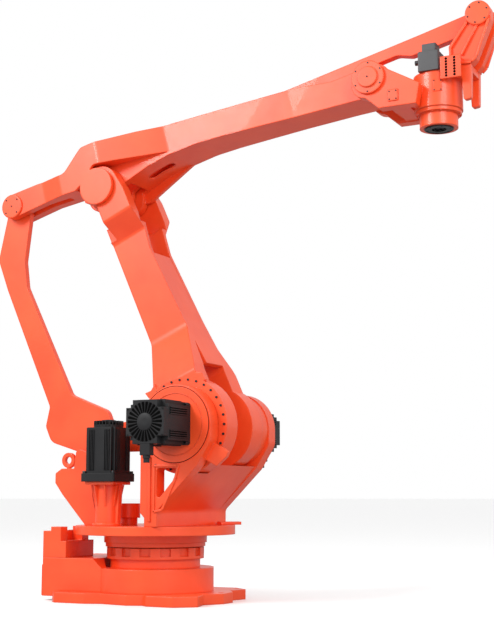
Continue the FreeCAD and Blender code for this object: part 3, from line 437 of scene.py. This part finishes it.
def wrist_details():
    low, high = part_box("connector_plate")
    # The connector's holes are small near-black discs on the plate face: painted shade, not cut holes.
    bm = bmesh.new()
    for column in range(2):
        for row in range(7):
            spot = Vector((low.x + 0.026 + column * 0.036, low.y, low.z + 0.012 + row * 0.0124))
            hole = [(0.0056, 0), (0.0056, 0.0018), (0.0048, 0.0022), (0.001, 0.0022)]
            turned(bm, spot + FAR_SIDE * 0.001, NEAR, hole, 16)
    finish_piece(bm, "connector_hole_shade", "wrist", SHADE_AND_SEAM)
    bm = bmesh.new()
    face_low, face_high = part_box("cheek_cover")
    middle, half = (face_low + face_high) / 2, (face_high - face_low) / 2
    spot, edge = (middle.x, face_low.y, middle.z), 0.008
    four_screws(bm, spot, Vector((half.x - edge, 0, 0)), UP * (half.z - edge), NEAR, 0.0032, 0.003)
    finish_piece(bm, "cheek_cover_screws", "wrist", SCREW)
    axis_x = pivot["tool_turn"].x
    out = Vector((0.028, -0.1012, 0)).normalized()
    spot = Vector((axis_x, 0, WRIST.z - 0.062)) + out * 0.1045
    along = UP.cross(out)
    bm, dots = bmesh.new(), bmesh.new()
    chamfered_box(bm, spot, (0.019, 0.026, 0.0035), (along, UP, out), 0.25)
    four_screws(dots, spot + out * 0.0033, along * 0.014, UP * 0.02, out, 0.0028, 0.0024)
    finish_piece(bm, "housing_plate", "wrist", PAINT)
    finish_piece(dots, "housing_plate_screws", "wrist", SCREW)
    bm = bmesh.new()
    for dx, dz in ((0.092, -0.098), (0.104, -0.116), (0.126, -0.133)):
        chamfered_box(bm, WRIST + Vector((dx, 0, dz)), (0.040, 0.0965, 0.0045), chamfer=0.3)
    finish_piece(bm, "bracket_ribs", "wrist", PAINT)
    housing_foot, ring_z = WRIST.z - 0.148, WRIST.z - 0.1655
    bm = bmesh.new()
    tube_ring(bm, (axis_x, 0, housing_foot), DOWN, 0.0985, 0.1005, 0.002)
    tube_ring(bm, (axis_x, 0, ring_z), DOWN, 0.0830, 0.0880, 0.003)
    for point in ring_points((axis_x, 0, ring_z), DOWN, 0.0925, 16):
        cap_screw(bm, point, DOWN, 0.0035, 0.004)
    finish_piece(bm, "housing_ring_screws", "wrist", PAINT)
    motor_low, motor_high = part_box("wrist_motor")
    bm = bmesh.new()
    centre = (motor_low + motor_high) / 2
    corner = 0.037
    spot = (centre.x, centre.y, motor_high.z)
    four_screws(bm, spot, Vector((corner, 0, 0)), Vector((0, corner, 0)), UP, 0.004, 0.004)
    tube = [(0.014, 0), (0.014, 0.01), (0.011, 0.012), (0.011, 0.024)]
    turned(bm, (centre.x - 0.045, centre.y, motor_high.z - 0.03), REAR, tube, 24)
    finish_piece(bm, "wrist_motor_screws", "wrist", SCREW)
    flange = pivot["tool_turn"]
    bm = bmesh.new()
    tube_ring(bm, flange + UP * 0.0005, DOWN, 0.0575, 0.0605, 0.0022)
    for point in ring_points(flange + UP * 0.006, DOWN, 0.024, 6, 0.5):
        cap_screw(bm, point, DOWN, 0.004, 0.004)
    finish_piece(bm, "flange_rim", "tool", FLANGE)


def base_details():
    low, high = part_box("connector_panel")
    socket = [(0.0118, 0), (0.0118, 0.004), (0.01, 0.006), (0.004, 0.006)]
    bm = bmesh.new()
    for column in range(2):
        for row in range(2):
            spot = Vector((low.x, low.y + 0.05 + column * 0.085, low.z + 0.038 + row * 0.062))
            tube_ring(bm, spot, REAR, 0.012, 0.024, 0.01, 32)
            turned(bm, spot, REAR, socket, 24)
    middle, half, edge = (low + high) / 2, (high - low) / 2, 0.01
    spot = (low.x, middle.y, middle.z)
    four_screws(bm, spot, Vector((0, half.y - edge, 0)), UP * (half.z - edge), REAR, 0.004, 0.004)
    finish_piece(bm, "panel_connectors", "base", BLACK)


def stand_details():
    low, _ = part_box("yaw_motor_stand")
    foot_z, head_z, half_thick = 0.425, 0.519, 0.004
    bm = bmesh.new()
    for k in range(8):
        angle = math.pi / 4 * k + math.pi / 8
        out = Vector((math.cos(angle), math.sin(angle), 0))
        side = UP.cross(out)
        corners = ((0.050, foot_z), (0.055, foot_z), (0.075, head_z), (0.050, head_z))
        outline = [YAW_CENTRE + out * r + UP * z - side * half_thick for r, z in corners]
        plate(bm, outline, 2 * half_thick, side)
    turned(bm, YAW_CENTRE + UP * low.z, UP, [(0.066, 0), (0.066, 0.010), (0.062, 0.014), (0.05, 0.0145)], 48)
    finish_piece(bm, "stand_gussets", "turret", PAINT, smooth=False)
    bm = bmesh.new()
    ear = -EAR_FACE + 0.0005
    frame_corners = [(0.180, 0.402), (0.180, 0.600), (0.300, 0.600), (0.286, 0.545), (0.222, 0.412)]
    for start, end in zip(frame_corners, frame_corners[1:] + frame_corners[:1]):
        strip(bm, (start[0], ear, start[1]), (end[0], ear, end[1]), 0.005, NEAR, 0.006)
    strip(bm, (0.158, ear, 0.360), (0.158, ear, 0.640), 0.006, NEAR, 0.008)
    finish_piece(bm, "ear_frame", "turret", PAINT)
    bm = bmesh.new()
    cap_screw(bm, (0.188, -EAR_FACE, 0.601), NEAR, 0.006, 0.005)
    finish_piece(bm, "ear_screw", "turret", SCREW)


side_motor_details("shoulder", NEAR)
side_motor_details("elbow", FAR_SIDE)
yaw_motor_details()
arm_details()
link_ends()
wrist_details()
base_details()
stand_details()


# ------------------------------------------------------------------ floor, light, camera

def seen_apart(tree, to_camera, to_light, output):
    """The camera sees one shader, and every other ray meets the other."""
    pick = tree.nodes.new("ShaderNodeMixShader")
    tree.links.new(tree.nodes.new("ShaderNodeLightPath").outputs["Is Camera Ray"], pick.inputs[0])
    tree.links.new(to_light.outputs[0], pick.inputs[1])
    tree.links.new(to_camera.outputs[0], pick.inputs[2])
    tree.links.new(pick.outputs[0], tree.nodes[output].inputs["Surface"])


def floor():
    mesh = bpy.data.meshes.new("floor")
    size = 300
    corners = [(-size, -size, 0), (size, -size, 0), (size, size, 0), (-size, size, 0)]
    mesh.from_pydata(corners, [], [(0, 1, 2, 3)])
    thing = bpy.data.objects.new("floor", mesh)
    bpy.context.scene.collection.objects.link(thing)
    material, tree, bsdf = shader("pale_floor", (0.93, 0.93, 0.93), 0.5)
    bsdf.inputs["Emission Color"].default_value = (1, 1, 1, 1)
    bsdf.inputs["Emission Strength"].default_value = 0.12
    thrown = tree.nodes.new("ShaderNodeBsdfDiffuse")
    thrown.inputs["Color"].default_value = (0.42, 0.42, 0.43, 1)
    seen_apart(tree, bsdf, thrown, "Material Output")
    mesh.materials.append(material)
    thing.location.z = -0.0005


def area_light(name, place, target, size, power):
    light = bpy.data.lights.new(name, "AREA")
    light.shape, light.size, light.energy = "DISK", size, power
    thing = bpy.data.objects.new(name, light)
    bpy.context.scene.collection.objects.link(thing)
    thing.location = place
    thing.rotation_euler = (Vector(target) - Vector(place)).to_track_quat("-Z", "Y").to_euler()


def studio():
    world = bpy.data.worlds.new("studio")
    bpy.context.scene.world = world
    world.use_nodes = True
    tree = world.node_tree
    sky = tree.nodes["Background"]
    sky.inputs["Color"].default_value = (1, 1, 1, 1)
    sky.inputs["Strength"].default_value = 0.85
    behind = tree.nodes.new("ShaderNodeBackground")
    behind.inputs["Strength"].default_value = 1.0
    behind.inputs["Color"].default_value = (1, 1, 1, 1)
    seen_apart(tree, behind, sky, "World Output")
    area_light("key", (-2.6, -5.0, 4.8), (0.2, 0, 1.2), 2.6, 330)
    area_light("fill", (4.5, -3.5, 3.0), (0.4, 0, 1.0), 2.5, 130)
    bpy.context.scene.view_settings.view_transform = "Standard"


def camera():
    data = bpy.data.cameras.new("camera")
    data.sensor_fit, data.sensor_height, data.lens = "VERTICAL", 36.0, 68.57
    data.clip_end = 200
    thing = bpy.data.objects.new("camera", data)
    bpy.context.scene.collection.objects.link(thing)
    thing.location = (2.8906, -4.9114, 0.4707)
    thing.rotation_euler = (math.radians(98.21), 0, math.radians(26.26))
    bpy.context.scene.camera = thing


floor()
studio()
camera()
